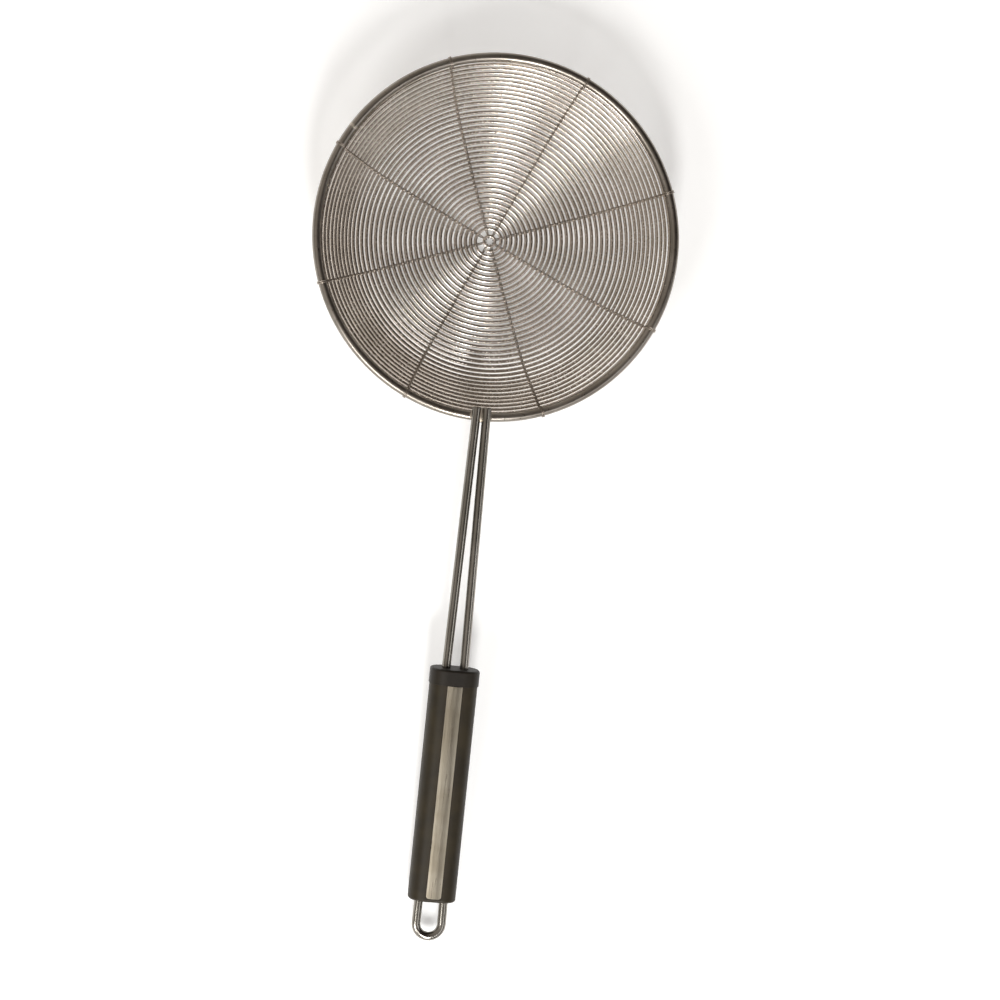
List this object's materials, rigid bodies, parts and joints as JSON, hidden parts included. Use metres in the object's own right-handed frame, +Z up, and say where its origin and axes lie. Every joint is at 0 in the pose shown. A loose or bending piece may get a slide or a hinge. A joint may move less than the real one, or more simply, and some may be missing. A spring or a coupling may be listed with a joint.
{
  "type": "spider skimmer",
  "caption": "Kitchen spider skimmer: a shallow dish of spiral wire with twined spoke wires in a heavy rim wire, on a long bent-wire handle with a moulded grip and hanging loop.",
  "frame": {"origin": "on the table under the middle of the skimmer's length and width, as it lies at rest", "axes": "+Z up along the bowl's axis, rim plane level, hollow side up; handle runs towards -Y and slopes down to the table; X across"},
  "size_m": [0.16, 0.3878, 0.0335],
  "materials": {
    "mesh_wire": "bright drawn stainless wire, slightly warm",
    "rim_steel": "drawn stainless wire, duller",
    "handle_steel": "drawn stainless wire, satin",
    "strip_steel": "brushed lengthwise",
    "grip_plastic": "brown-black moulded plastic, fine satin grain",
    "rivet_steel": "plain"
  },
  "bodies": {
    "root": {"rim_wire": "rim_steel", "hub_ring": "mesh_wire", "spiral_wire": "mesh_wire", "spoke_wire_1": "mesh_wire", "spoke_wire_2": "mesh_wire", "spoke_wire_3": "mesh_wire", "spoke_wire_4": "mesh_wire", "spoke_wire_5": "mesh_wire", "spoke_wire_6": "mesh_wire", "spoke_wire_7": "mesh_wire", "spoke_wire_8": "mesh_wire", "handle_wire": "handle_steel", "grip_upper_shell": "grip_plastic", "grip_lower_shell": "grip_plastic", "grip_collar": "grip_plastic", "upper_strip": "strip_steel", "lower_strip": "strip_steel", "front_rivet": "rivet_steel", "rear_rivet": "rivet_steel"}
  },
  "joints": []
}
